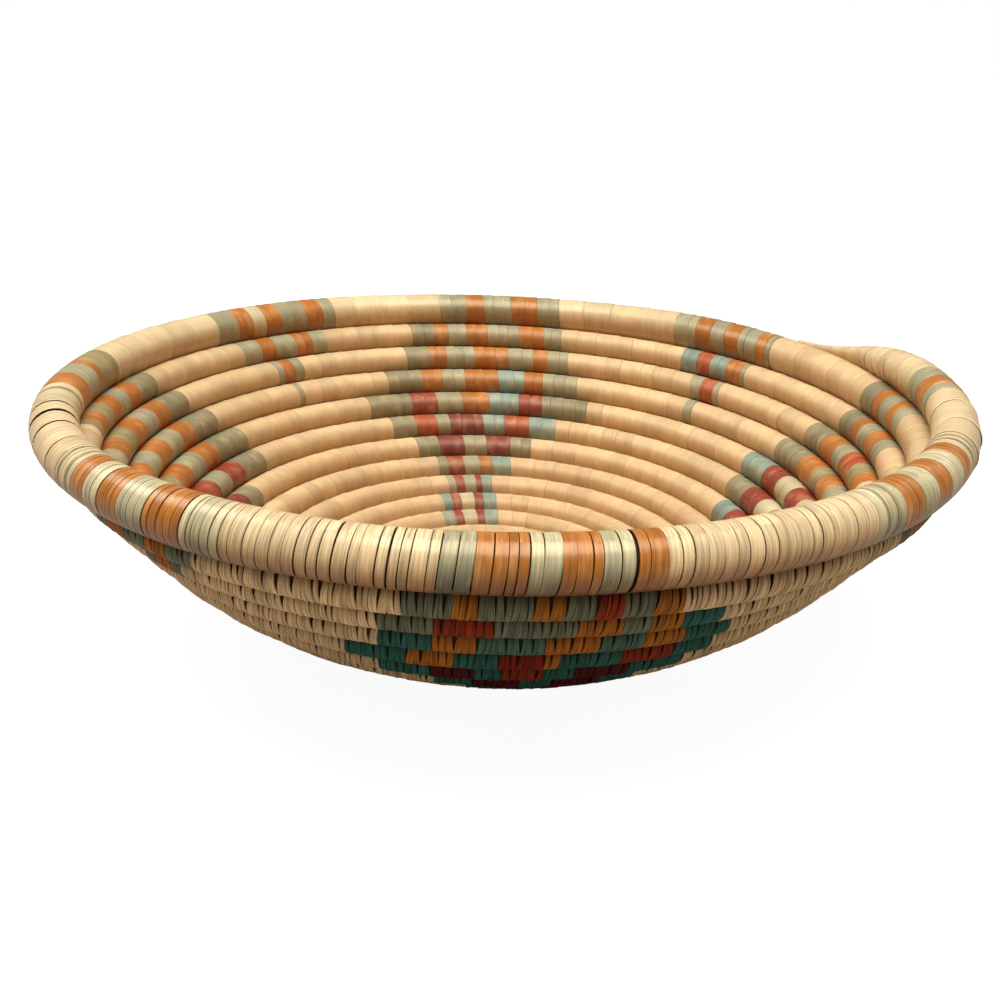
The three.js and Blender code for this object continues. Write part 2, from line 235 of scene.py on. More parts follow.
def coil_frame(t):
    """Centres, outward and inward-facing directions, and radii of the coil, in metres."""
    t = np.atleast_1d(np.asarray(t, float))
    r, z, slope = seat(t)
    under_r, under_z, _ = seat(t + 1)
    drop = TAIL_DROP * (1 - smooth(t, 0, DROP_TURNS))
    push = crowding(t) / 2 + crowding(t + 1)
    dr, dz = r - under_r, z - under_z
    r = under_r + dr * np.cos(drop) + dz * np.sin(drop) + push * np.cos(slope)
    z = under_z + dz * np.cos(drop) - dr * np.sin(drop) + push * np.sin(slope)
    slope = slope - drop
    azimuth = np.radians(TAIL_AZIMUTH - 360 * t)
    out = np.stack([np.cos(azimuth), np.sin(azimuth), 0 * t], 1)
    up = np.array([0, 0, 1.0])
    along = out * np.cos(slope)[:, None] + up * np.sin(slope)[:, None]
    inner = up * np.cos(slope)[:, None] - out * np.sin(slope)[:, None]
    centre = (out * r[:, None] + up * z[:, None]) * MM + np.array(AXIS)
    return centre, along, inner, (coil_diameter(t) + crowding(t)) / 2 * MM


def new_piece(name, mesh, *nodes):
    """A finished mesh as a piece that stands for its nodes."""
    made = bpy.data.objects.new(name, mesh)
    scene.collection.objects.link(made)
    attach(made, "root")
    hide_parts(*nodes)
    return made


# Dry grass: matt straw stems side by side, seen only in the gaps of the strips, coloured a
# near-black brown as painted shade for those gaps. The noise is stretched along the bundle,
# with a stem about every 0.3 mm of its girth.
shade_dark_grass, tree = blank_material("dry_grass_painted_shade")
place = node(tree, "ShaderNodeUVMap", {"uv_map": "stem"})
lengths = node(tree, "ShaderNodeMapping", Vector=place.outputs[0], Scale=(0.25, 9, 1))
stems = node(tree, "ShaderNodeTexNoise", Vector=lengths.outputs[0], Scale=4.0, Detail=4.0)
ramp = node(tree, "ShaderNodeValToRGB", Fac=stems.outputs["Fac"])
# Near-black browns, far darker than dry straw: painted shade.
ramp.color_ramp.elements[0].color = linear("#1A110A")
ramp.color_ramp.elements[1].color = linear("#3C2B19")
bump = node(tree, "ShaderNodeBump", Strength=0.6, Distance=0.0003, Height=stems.outputs["Fac"])
straw = node(
    tree,
    "ShaderNodeBsdfPrincipled",
    Base_Color=ramp.outputs[0],
    Roughness=0.85,
    Normal=bump.outputs[0],
)
node(tree, "ShaderNodeOutputMaterial", Surface=straw.outputs[0])


BUNDLE_SHARE = 0.86  # radius of the bundle for that over the strips
LOWEST = 0.0004  # clear of the strips under it, in metres


def tube(name, t, sides, material):
    """A closed tube along the winding, with its length and girth in the UV map stem."""
    centre, along, inner, radius = coil_frame(t)
    turn = np.linspace(0, 2 * np.pi, sides, endpoint=False)
    ring = along[:, None] * np.cos(turn)[None, :, None] + inner[:, None] * np.sin(turn)[None, :, None]
    points = centre[:, None] + ring * (radius * BUNDLE_SHARE)[:, None, None]
    points[..., 2] = np.maximum(points[..., 2], LOWEST)
    count = len(t)
    faces = []
    for k in range(count - 1):
        for i in range(sides):
            a, b = k * sides + i, k * sides + (i + 1) % sides
            faces.append((a, b, b + sides, a + sides))
    faces.append(tuple(reversed(range(sides))))
    faces.append(tuple(range((count - 1) * sides, count * sides)))
    mesh = bpy.data.meshes.new(name)
    mesh.from_pydata(points.reshape(-1, 3).tolist(), [], faces)
    steps = np.linalg.norm(np.diff(centre, axis=0), axis=1)
    run = np.concatenate([[0], np.cumsum(steps)]) / 0.01
    layer = mesh.uv_layers.new(name="stem")
    corners = np.empty(len(mesh.loops), np.int32)
    mesh.loops.foreach_get("vertex_index", corners)
    uv = np.stack([run[corners // sides], (corners % sides) / sides * 3], 1)
    layer.data.foreach_set("uv", uv.ravel().astype(np.float32))
    mesh.materials.append(material)
    mesh.shade_smooth()
    return mesh


bundle_t = np.concatenate([np.arange(0, 14, 1 / 120), np.arange(14, COIL_START, 1 / 48), [COIL_START]])
bundle_mesh = tube("foundation_stems", bundle_t, 14, shade_dark_grass)
new_piece("foundation_stems", bundle_mesh, "foundation_bundle")

# Sewing strips: flat split cane, natural or dyed, wrapped round the bundle side by side. Each
# one is pulled through the turn before it, so it pinches to slivers on the outside of the bowl.

# Cross-sections of a strip: place across its width, and height over the coil in its radius.
EDGED = ((-0.5, -0.024), (-0.472, 0.0), (0.472, 0.0), (0.5, -0.024))
LAPPED = ((-0.5, -0.036), (-0.45, -0.02), (0.465, 0.014), (0.5, -0.022))
SPLINTER = ((-0.5, -0.04), (-0.42, -0.004), (0.42, 0.0), (0.5, -0.034))


def strip_shape(name, start, end, steps, section, width, lift, shift, outside, crevice_shade):
    """One strip of unit width bent round a coil of unit radius, from start to end in degrees
    from the side of the next turn, over the inside of the bowl. The last five are functions of
    that angle: its width, its height over the coil, its shift along it, how far it faces out of
    the bowl and takes the deep dye, which low on the rim is partly painted shade, and how deep it
    lies between the turns, which sets its painted shade."""
    turn = np.radians(np.linspace(start, end, steps + 1))
    closed = end - start >= 360
    if closed:
        turn = turn[:-1]
    w, h, x0 = width(turn), lift(turn), shift(turn)
    points, faces = [], []
    for k, a in enumerate(turn):
        for x, rise in section:
            r = 1 + rise + h[k]
            points.append((x0[k] + x * w[k], r * math.cos(a), r * math.sin(a)))
    rings = len(turn)
    for k in range(rings if closed else rings - 1):
        for i in range(4):
            a, b = k * 4 + i, k * 4 + (i + 1) % 4
            c, d = (a + 4) % (4 * rings), (b + 4) % (4 * rings)
            faces.append((a, c, d, b))
    if not closed:
        faces.append((0, 1, 2, 3))
        faces.append(tuple((rings - 1) * 4 + i for i in (3, 2, 1, 0)))
    mesh = bpy.data.meshes.new(name)
    mesh.from_pydata(points, [], faces)
    mesh.update()
    for key, values in (("outside", outside(turn)), ("crevice_shade", crevice_shade(turn)), ("bend", -np.cos(turn))):
        layer = mesh.attributes.new(key, "FLOAT", "POINT")
        layer.data.foreach_set("value", np.repeat(values, 4).astype(np.float32))
    layer = mesh.attributes.new("reach", "FLOAT", "POINT")
    layer.data.foreach_set("value", np.tile([x for x, _ in section], rings).astype(np.float32))
    sharp = mesh.attributes.new("sharp_edge", "BOOLEAN", "EDGE")
    sharp.data.foreach_set("value", [(a - b) % 4 == 0 for a, b in (edge.vertices for edge in mesh.edges)])
    layer = mesh.uv_layers.new(name="strip")
    for poly in mesh.polygons:
        steps_of = [mesh.loops[c].vertex_index // 4 for c in poly.loop_indices]
        wraps = closed and max(steps_of) - min(steps_of) > 2
        for corner, k in zip(poly.loop_indices, steps_of):
            v = mesh.loops[corner].vertex_index % 4
            around = k + (rings if wraps and k == 0 else 0)
            layer.data[corner].uv = (section[v][0] + 0.5, around / rings * (end - start) / 57.3)
    mesh.shade_smooth()
    return bpy.data.objects.new(name, mesh)


def collection_of(name, shapes):
    made = bpy.data.collections.new(name)
    for shape in shapes:
        made.objects.link(shape)
    return made


def below(turn, up, low, high):
    """How far round from its top a strip has come, from 0 to 1 between two angles."""
    away = np.abs((np.degrees(turn) - up + 180) % 360 - 180)
    return smooth(away, low, high)


def near(turn, degrees, spread):
    """A bump of height 1 round one angle."""
    away = (np.degrees(turn) - degrees + 180) % 360 - 180
    return np.exp(-((away / spread) ** 2))


RIM_OUT = -RIM_ANGLE  # where a strip of the rim faces straight outward
# Strips of the rim along the front: narrow, nearly parallel, with an open slit between them.
rim_shapes = []
for i, (lean, pinch) in enumerate([(0.0, 0.02), (0.2, 0.05), (-0.15, 0.0), (0.1, 0.08)]):
    rim_shapes.append(
        strip_shape(
            f"rim_strip_{i}",
            0,
            360,
            26,
            EDGED,
            lambda a, p=pinch: (1 - p * near(a, 240, 50)) * (1.01 + 0.051 * np.cos(a - RIM_OUT)),
            lambda a: 0.05 * near(a, 180, 22),
            lambda a, l=lean: l * 0.12 * np.sin(a + l * 20),
            # Deep dye from the top down, partly painted shade, then painted shade low on the coil.
            lambda a: below(a, 20, 45, 110),
            lambda a: below(a, 20, 72, 125),
        )
    )
# Strips of the rim at the sides and the back: broad, each lapped over the one before.
broad_shapes = []
for i, (lean, ease) in enumerate([(0.0, 0.0), (0.1, 0.02), (-0.08, 0.01)]):
    broad_shapes.append(
        strip_shape(
            f"broad_strip_{i}",
            0,
            360,
            26,
            LAPPED,
            lambda a, e=ease: (1 - e * near(a, 110, 50)) * (1 + 0.051 * np.cos(a - RIM_OUT)),
            lambda a: 0.11 * near(a, 180, 24),
            lambda a, l=lean: l * 0.2 * np.sin(a + l * 9),
            # Deep dye from the top down, partly painted shade, then painted shade low on the coil.
            lambda a: below(a, 20, 45, 110) * (np.sin(a) < 0.3),
            lambda a: below(a, 20, 50, 120),
        )
    )
# Inside of a wall strip: wide and smooth, lapped over the next.
inner_shapes = []
for i, (lean, ease) in enumerate([(0.0, 0.0), (0.12, 0.02), (-0.1, 0.01)]):
    inner_shapes.append(
        strip_shape(
            f"inner_strip_{i}",
            -24,
            204,
            12,
            LAPPED,
            lambda a, e=ease: 1 - e * near(a, 100, 40),
            lambda a: 0.1 * near(a, 194, 20) + 0.1 * near(a, -14, 22),
            lambda a, l=lean: l * 0.25 * np.cos(a),
            lambda a: 0 * a,
            # Painted shade on the lower part of the coil, away from its top.
            lambda a: 0.85 * below(a, 45, 22, 105),
        )
    )
# Outside of a wall strip: slivers that fan out from a point under the next turn. Each has its
# width at the top and at the bottom, and its lean.
SLIVERS = (
    (0.86, 1.04, 0.15),
    (1.02, 1.02, -0.25),
    (0.94, 1.03, 0.35),
    (0.68, 1.05, 0.4),
    (1.04, 1.02, 0.0),
    (0.9, 1.03, -0.4),
)
outer_shapes = []
for i, (top, bottom, lean) in enumerate(SLIVERS):
    outer_shapes.append(
        strip_shape(
            f"outer_strip_{i}",
            168,
            366,
            10,
            SPLINTER,
            lambda a, t=top, b=bottom: b + (t - b) * smooth(np.degrees(a), 272, 345),
            lambda a, i=i: 0.09 * near(a, 176, 20) + 0.006 * i * near(a, 250, 60),
            lambda a, l=lean: l * (np.degrees(a) - 270) / 90,
            lambda a: 0 * a + 1,
            # Painted shade in the slits at the top of the row and along its lower edge.
            lambda a: smooth(np.degrees(a), 296, 348) + 0.8 - 0.8 * smooth(np.degrees(a), 186, 214),
        )
    )
# Under the slivers lies the start of each strip, which closes the lower part of the row.
under_shapes = [
    strip_shape(
        "under_strip",
        168,
        272,
        6,
        LAPPED,
        lambda a: 0 * a + 1,
        lambda a: 0.1 * near(a, 170, 25) - 0.035,
        lambda a: 0 * a,
        lambda a: 0 * a + 1,
        # Painted shade over the whole strip, which lies under the slivers.
        lambda a: 0.9 + 0 * a,
    )
]
kinds = [
    collection_of("rim strips", rim_shapes),
    collection_of("inner strips", inner_shapes),
    collection_of("outer strips", outer_shapes),
    collection_of("broad strips", broad_shapes),
    collection_of("under strips", under_shapes),
]

# Wrapping: every point is one strip, turned to the coil there, with a little lean of its own.
# Its kind says which collection its shape comes from, in the order of the list above.
wrapping = bpy.data.node_groups.new("wrapping", "GeometryNodeTree")
wrapping.interface.new_socket(name="Geometry", in_out="INPUT", socket_type="NodeSocketGeometry")
for name, kind, value in (
    ("Lean spread", "NodeSocketFloat", 0.008),
    ("Seed", "NodeSocketInt", 3),
    ("Strip", "NodeSocketMaterial", None),
):
    made = wrapping.interface.new_socket(name=name, in_out="INPUT", socket_type=kind)
    if value is not None:
        made.default_value = value
wrapping.interface.new_socket(name="Geometry", in_out="OUTPUT", socket_type="NodeSocketGeometry")
given = node(wrapping, "NodeGroupInput")
across = node(wrapping, "GeometryNodeInputNamedAttribute", {"data_type": "FLOAT_VECTOR"}, Name="across")
inward = node(wrapping, "GeometryNodeInputNamedAttribute", {"data_type": "FLOAT_VECTOR"}, Name="inward")
girth = node(wrapping, "GeometryNodeInputNamedAttribute", {"data_type": "FLOAT_VECTOR"}, Name="girth")
kind_of = node(wrapping, "GeometryNodeInputNamedAttribute", {"data_type": "INT"}, Name="kind")
turned = node(
    wrapping,
    "FunctionNodeAxesToRotation",
    {"primary_axis": "X", "secondary_axis": "Z"},
    Primary_Axis=across.outputs[0],
    Secondary_Axis=inward.outputs[0],
)
least = node(
    wrapping,
    "ShaderNodeMath",
    {"operation": "SUBTRACT"},
    i0=0.0,
    i1=given.outputs["Lean spread"],
)
lean = node(
    wrapping,
    "FunctionNodeRandomValue",
    {"data_type": "FLOAT"},
    i2=least.outputs[0],
    i3=given.outputs["Lean spread"],
    Seed=given.outputs["Seed"],
)
tilt = node(wrapping, "FunctionNodeRandomValue", {"data_type": "FLOAT"}, i2=-0.006, i3=0.006, Seed=11)
own_lean = node(wrapping, "ShaderNodeCombineXYZ", Y=tilt.outputs[1], Z=lean.outputs[1])
leaning = node(
    wrapping,
    "FunctionNodeRotateRotation",
    {"rotation_space": "LOCAL"},
    Rotation=turned.outputs[0],
    Rotate_By=own_lean.outputs[0],
)
which = node(wrapping, "FunctionNodeRandomValue", {"data_type": "INT"}, i4=0, i5=11, Seed=5)
joined = node(wrapping, "GeometryNodeJoinGeometry")
for i, shapes in enumerate(kinds):
    chosen = node(
        wrapping,
        "FunctionNodeCompare",
        {"data_type": "INT", "operation": "EQUAL"},
        i2=kind_of.outputs[0],
        i3=i,
    )
    source = node(wrapping, "GeometryNodeCollectionInfo", Collection=shapes, Separate_Children=True)
    wraps = node(
        wrapping,
        "GeometryNodeInstanceOnPoints",
        Points=given.outputs["Geometry"],
        Selection=chosen.outputs[0],
        Instance=source.outputs[0],
        Pick_Instance=True,
        Instance_Index=which.outputs[2],
        Rotation=leaning.outputs[0],
        Scale=girth.outputs[0],
    )
    wrapping.links.new(wraps.outputs[0], joined.inputs[0])
real = node(wrapping, "GeometryNodeRealizeInstances", Geometry=joined.outputs[0])
# Once real, each strip is slanted round the coil, widened to one side where the coil thickens,
# and spread towards the outside of a small turn.
slant_of = node(wrapping, "GeometryNodeInputNamedAttribute", {"data_type": "FLOAT"}, Name="slant")
bend_of = node(wrapping, "GeometryNodeInputNamedAttribute", {"data_type": "FLOAT"}, Name="bend")
fan_of = node(wrapping, "GeometryNodeInputNamedAttribute", {"data_type": "FLOAT"}, Name="fan")
swell_of = node(wrapping, "GeometryNodeInputNamedAttribute", {"data_type": "FLOAT"}, Name="swell")
reach_of = node(wrapping, "GeometryNodeInputNamedAttribute", {"data_type": "FLOAT"}, Name="reach")
middle = node(wrapping, "GeometryNodeInputNamedAttribute", {"data_type": "FLOAT_VECTOR"}, Name="middle")
course_of = node(
    wrapping,
    "ShaderNodeMath",
    {"operation": "MULTIPLY_ADD"},
    i0=fan_of.outputs[0],
    i1=reach_of.outputs[0],
    i2=slant_of.outputs[0],
)
slid = node(
    wrapping, "ShaderNodeMath", {"operation": "MULTIPLY"}, i0=course_of.outputs[0], i1=bend_of.outputs[0]
)
slide = node(
    wrapping, "ShaderNodeVectorMath", {"operation": "SCALE"}, i0=across.outputs[0], Scale=slid.outputs[0]
)
here = node(wrapping, "GeometryNodeInputPosition")
off_axis = node(
    wrapping, "ShaderNodeVectorMath", {"operation": "SUBTRACT"}, i0=here.outputs[0], i1=middle.outputs[0]
)
swollen = node(
    wrapping, "ShaderNodeMath", {"operation": "MULTIPLY"}, i0=swell_of.outputs[0], i1=reach_of.outputs[0]
)
widen = node(
    wrapping,
    "ShaderNodeVectorMath",
    {"operation": "SCALE"},
    i0=off_axis.outputs[0],
    Scale=swollen.outputs[0],
)
moved = node(
    wrapping, "ShaderNodeVectorMath", {"operation": "ADD"}, i0=slide.outputs[0], i1=widen.outputs[0]
)
shaped = node(wrapping, "GeometryNodeSetPosition", Geometry=real.outputs[0], Offset=moved.outputs[0])
finish_node = node(
    wrapping, "GeometryNodeSetMaterial", Geometry=shaped.outputs[0], Material=given.outputs["Strip"]
)
node(wrapping, "NodeGroupOutput", Geometry=finish_node.outputs[0])


# Tint of the painted shade in the slits and along the lower edges of the rows of slivers.
SLIVER_SHADE_TINT = (0.36, 0.27, 0.2, 1)


def split_cane(name, outer, inner=None, roughness=0.62, gloss=0.12, shade_tint=SLIVER_SHADE_TINT):
    """Split cane: long fibres along the strip, a waxy skin with a soft gloss, each strip a
    little lighter or darker than the next and darker at its very edges, dark joints with painted
    shade in the seams. Dyed strips are faded inside the bowl and deep outside it; the deep dye on
    the lower side of the rim is partly painted shade. Where a strip lies between turns its colour
    is multiplied towards a shade tint, as painted shade. The fibres are about 0.5 mm apart, some
    times coarser than real ones, so that they show."""
    made, tree = blank_material(name)
    tone = node(tree, "ShaderNodeAttribute", {"attribute_name": "tone"})
    grain = node(tree, "ShaderNodeAttribute", {"attribute_name": "grain"})
    place = node(tree, "ShaderNodeUVMap", {"uv_map": "strip"})
    breadth = node(tree, "ShaderNodeAttribute", {"attribute_name": "breadth"})
    sized = node(tree, "ShaderNodeCombineXYZ", X=breadth.outputs["Fac"], Y=6.0)
    in_mm = node(
        tree, "ShaderNodeVectorMath", {"operation": "MULTIPLY"}, i0=place.outputs[0], i1=sized.outputs[0]
    )
    shifted = node(tree, "ShaderNodeCombineXYZ", X=tone.outputs["Fac"], Y=tone.outputs["Fac"])
    own = node(
        tree, "ShaderNodeVectorMath", {"operation": "SCALE"}, i0=shifted.outputs[0], Scale=370.0
    )
    moved = node(tree, "ShaderNodeVectorMath", {"operation": "ADD"}, i0=in_mm.outputs[0], i1=own.outputs[0])
    fine = node(tree, "ShaderNodeMapping", Vector=moved.outputs[0], Scale=(1.8, 0.07, 1))
    fibres = node(tree, "ShaderNodeTexNoise", Vector=fine.outputs[0], Scale=1.0, Detail=2.5, Roughness=0.6)
    wide = node(tree, "ShaderNodeMapping", Vector=moved.outputs[0], Scale=(0.2, 0.14, 1))
    patches = node(tree, "ShaderNodeTexNoise", Vector=wide.outputs[0], Scale=1.0, Detail=2.0)
    spread = node(tree, "ShaderNodeMapRange", Value=tone.outputs["Fac"], To_Min=0.88, To_Max=1.1)
    fibre = node(
        tree,
        "ShaderNodeMapRange",
        Value=fibres.outputs["Fac"],
        From_Min=0.3,
        From_Max=0.7,
        To_Min=-0.32,
        To_Max=0.2,
    )
    streak = node(
        tree,
        "ShaderNodeMath",
        {"operation": "MULTIPLY_ADD"},
        i0=fibre.outputs[0],
        i1=grain.outputs["Fac"],
        i2=1.0,
    )
    patch = node(
        tree,
        "ShaderNodeMapRange",
        Value=patches.outputs["Fac"],
        From_Min=0.3,
        From_Max=0.7,
        To_Min=0.88,
        To_Max=1.08,
    )
    place_of = node(tree, "ShaderNodeSeparateXYZ", Vector=place.outputs[0])
    off_middle = node(tree, "ShaderNodeMath", {"operation": "SUBTRACT"}, i0=place_of.outputs[0], i1=0.5)
    out = node(tree, "ShaderNodeMath", {"operation": "ABSOLUTE"}, i0=off_middle.outputs[0])
    short_of = node(tree, "ShaderNodeMath", {"operation": "SUBTRACT"}, i0=0.5, i1=out.outputs[0])
    from_edge = node(
        tree, "ShaderNodeMath", {"operation": "MULTIPLY"}, i0=short_of.outputs[0], i1=breadth.outputs["Fac"]
    )
    # Darker at the very edges: dark joints, with painted shade in the seams between strips.
    edge = node(
        tree,
        "ShaderNodeMapRange",
        Value=from_edge.outputs[0],
        From_Min=0.0,
        From_Max=0.2,
        To_Min=0.55,
        To_Max=1.0,
    )
    multiply = {"operation": "MULTIPLY"}
    one = node(tree, "ShaderNodeMath", multiply, i0=spread.outputs[0], i1=streak.outputs[0])
    two = node(tree, "ShaderNodeMath", multiply, i0=one.outputs[0], i1=patch.outputs[0])
    value = node(tree, "ShaderNodeMath", multiply, i0=two.outputs[0], i1=edge.outputs[0])
    shade = node(
        tree, "ShaderNodeVectorMath", {"operation": "SCALE"}, i0=linear(outer)[:3], Scale=value.outputs[0]
    )
    # Faded and deep dye mixed by how far the strip faces out of the bowl; on the rim this darkens the lower
    # side, partly as painted shade.
    if inner:
        outside = node(tree, "ShaderNodeAttribute", {"attribute_name": "outside"})
        dye = node(
            tree,
            "ShaderNodeMix",
            {"data_type": "RGBA"},
            Factor=outside.outputs["Fac"],
            i6=linear(inner),
            i7=linear(outer),
        )
        bare = node(
            tree,
            "ShaderNodeMapRange",
            Value=patches.outputs["Fac"],
            From_Min=0.5,
            From_Max=0.75,
            To_Max=0.3,
        )
        uneven = node(
            tree,
            "ShaderNodeMix",
            {"data_type": "RGBA"},
            Factor=bare.outputs[0],
            i6=dye.outputs[2],
            i7=linear("#DFC08F"),
        )
        tree.links.new(uneven.outputs[2], shade.inputs[0])
    # Painted shade: the colour is multiplied towards the shade tint where the strip lies between turns and
    # low on its coil.
    crevice_shade = node(tree, "ShaderNodeAttribute", {"attribute_name": "crevice_shade"})
    painted_shade = node(
        tree,
        "ShaderNodeMix",
        {"data_type": "RGBA", "blend_type": "MULTIPLY"},
        Factor=crevice_shade.outputs["Fac"],
        i6=shade.outputs[0],
        i7=shade_tint,
    )
    bump = node(tree, "ShaderNodeBump", Strength=0.35, Distance=0.00012, Height=fibres.outputs["Fac"])
    skin = node(
        tree,
        "ShaderNodeBsdfPrincipled",
        Base_Color=painted_shade.outputs[2],
        Roughness=roughness,
        IOR=1.66,
        Specular_IOR_Level=gloss,
        Specular_Tint=(1, 0.92, 0.76, 1),
        Normal=bump.outputs[0],
    )
    if inner:
        worn = node(tree, "ShaderNodeAttribute", {"attribute_name": "worn"})
        rubbed = node(
            tree, "ShaderNodeMapRange", Value=worn.outputs["Fac"], To_Min=roughness, To_Max=roughness + 0.13
        )
        tree.links.new(rubbed.outputs[0], skin.inputs["Roughness"])
    node(tree, "ShaderNodeOutputMaterial", Surface=skin.outputs[0])
    return made


# Each colour of cane: inside the bowl, outside it, and the roughness of its skin. The outside
# colours are deep dye made darker still by painted shade, for the shaded outside of the bowl
# and the lower side of the rim. The slivers have the deep colour and a torn, matt surface.
DYES = {
    "natural": ("#E3C79C", "#DABB94", 0.32),
    "bleached": ("#EED8B0", "#C89E71", 0.28),
    "cream": ("#E4DAB8", "#BFB088", 0.3),
    "pale_sage": ("#D2CCA9", "#8B866B", 0.28),
    "sage": ("#A8A68A", "#6E7361", 0.35),
    "moss": ("#959074", "#6E7361", 0.35),
    "olive": ("#A2986F", "#7C7150", 0.35),
    "aqua": ("#8DA59D", "#4C6D60", 0.35),
    "teal": ("#8FA391", "#27605A", 0.35),
    "orange": ("#BE7732", "#A9661E", 0.32),
    "rust": ("#B4522A", "#8A2B0A", 0.35),
    "red": ("#9C3F30", "#7E1E0E", 0.35),
    "maroon": ("#883632", "#500A18", 0.35),
}
DYE_ORDER = list(DYES)
# Tint of the painted shade on the lower side of the smooth strips, between the turns.
SHADE_TINT = (0.53, 0.38, 0.26, 1)
WAXY_GLOSS = 0.55
smooth_cane = []
for dye, (faded, deep, skin) in DYES.items():
    smooth_cane.append(split_cane(dye + "_split_cane", deep, faded, skin, WAXY_GLOSS, SHADE_TINT))
cane_slivers = []
for dye, (faded, deep, skin) in DYES.items():
    cane_slivers.append(split_cane(dye + "_cane_slivers", deep))
cane = smooth_cane + cane_slivers


def strips_along(cells, kind, pitch, gap, unequal=0.28):
    """One strip after another along stretches of coil: rows of t, width, dye and kind. Most
    slits between the open strips of the rim (kind 0) are narrow, and a few are wide."""
    rows = []
    for start, end, dye in cells:
        middle, _, _, _ = coil_frame((start + end) / 2)
        reach = math.hypot(middle[0][0] - AXIS.x, middle[0][1] - AXIS.y)
        length = (end - start) * 2 * math.pi * reach
        count = max(1, round(length / (pitch * MM)))
        share = 1 + unequal * (hand.random(count) * 2 - 1) * (count > 1)
        edges = np.concatenate([[0], np.cumsum(share / share.sum())])
        places = start + (end - start) * (edges[:-1] + edges[1:]) / 2
        spots, _, _, _ = coil_frame(places)
        turn_radius = np.hypot(spots[:, 0] - AXIS.x, spots[:, 1] - AXIS.y)
        for k, t in enumerate(places):
            slit = 0.35 + 4 * hand.random() ** 4 if kind == 0 else 0.4 + 1.2 * hand.random()
            width = length * turn_radius[k] / reach * (edges[k + 1] - edges[k]) - gap * MM * slit
            rows.append((t, width, DYE_ORDER.index(dye), kind))
    return rows


FAN_NONE = 0.12  # turns wider than this, in metres, need no spread
FAN_RANGE = 0.05
GRAIN = (1.3, 0.3, 1.8, 0.4, 1)  # how much the fibres show, and how worn the skin is, by kind
WORN = (0, 1, 1, 0, 1)


def wrap(name, rows, *nodes, slant=0.6, unequal=0.12, spread=0.008, seed=3):
    """Strips on the coil as one plain mesh. They slant by some millimetres across the coil."""
    t, width, dye, kind = (np.array(column) for column in zip(*rows))
    centre, along, inner, radius = coil_frame(t)
    ahead, _, _, wider = coil_frame(t + 0.002)
    behind, _, _, thinner = coil_frame(t - 0.002)
    course = ahead - behind
    course_length = np.linalg.norm(course, axis=1)
    swell = (wider - thinner) / radius * width / course_length
    away = np.hypot(centre[:, 0] - AXIS.x, centre[:, 1] - AXIS.y)
    fan = -width * radius / np.maximum(away, radius) * np.clip((FAN_NONE - away) / FAN_RANGE, 0, 1)
    # The bundle is a little thicker here and thinner there.
    radius = radius * (0.99 + 0.008 * np.sin(t * 61) + 0.004 * (hand.random(len(t)) - 0.5))
    mesh = bpy.data.meshes.new(name + "_points")
    mesh.from_pydata(centre.tolist(), [], [])
    fields = {
        "across": ("FLOAT_VECTOR", "vector", course / course_length[:, None]),
        "inward": ("FLOAT_VECTOR", "vector", inner),
        "girth": ("FLOAT_VECTOR", "vector", np.stack([width, radius, radius], 1)),
        "middle": ("FLOAT_VECTOR", "vector", centre),
        "slant": ("FLOAT", "value", slant * MM * (1 + unequal * (hand.random(len(t)) * 2 - 1))),
        "fan": ("FLOAT", "value", fan),
        "swell": ("FLOAT", "value", swell),
        "breadth": ("FLOAT", "value", width / MM),
        "kind": ("INT", "value", kind),
        "finish": ("INT", "value", dye + len(DYES) * np.isin(kind, (2, 4))),
        "tone": ("FLOAT", "value", hand.random(len(t))),
        "grain": ("FLOAT", "value", np.array(GRAIN)[kind]),
        "worn": ("FLOAT", "value", np.array(WORN)[kind]),
    }
    for key, (form, slot, values) in fields.items():
        layer = mesh.attributes.new(key, form, "POINT")
        layer.data.foreach_set(slot, np.asarray(values).ravel())
    points = bpy.data.objects.new(name + "_points", mesh)
    scene.collection.objects.link(points)
    modifier = points.modifiers.new("wrapping", "NODES")
    modifier.node_group = wrapping
    inputs = [item for item in wrapping.interface.items_tree if item.in_out == "INPUT"]
    sockets = {item.name: item.identifier for item in inputs}
    modifier[sockets["Lean spread"]] = spread
    modifier[sockets["Seed"]] = seed
    modifier[sockets["Strip"]] = cane[0]
    shown = points.evaluated_get(bpy.context.evaluated_depsgraph_get())
    made = bpy.data.meshes.new_from_object(shown)
    made.name = name
    bpy.data.objects.remove(points)
    made.materials.clear()
    finishes = np.empty(len(made.vertices), np.int32)
    made.attributes["finish"].data.foreach_get("value", finishes)
    used = sorted(set(finishes.tolist()))
    for finish in used:
        made.materials.append(cane[finish])
    corners = np.empty(len(made.loops), np.int32)
    made.loops.foreach_get("vertex_index", corners)
    starts = np.empty(len(made.polygons), np.int32)
    made.polygons.foreach_get("loop_start", starts)
    slots = np.searchsorted(used, finishes[corners[starts]])
    made.polygons.foreach_set("material_index", slots.astype(np.int32))
    where = np.empty(len(made.vertices) * 3, np.float32)
    made.vertices.foreach_get("co", where)
    where[2::3] = np.maximum(where[2::3], 0)
    made.vertices.foreach_set("co", where)
    # Only what the material reads is kept.
    layout = ("across", "inward", "girth", "middle", "slant", "fan", "swell", "bend", "reach")
    for key in layout + ("kind", "finish"):
        if key in made.attributes:
            made.attributes.remove(made.attributes[key])
    made.update()
    return new_piece(name, made, *nodes)


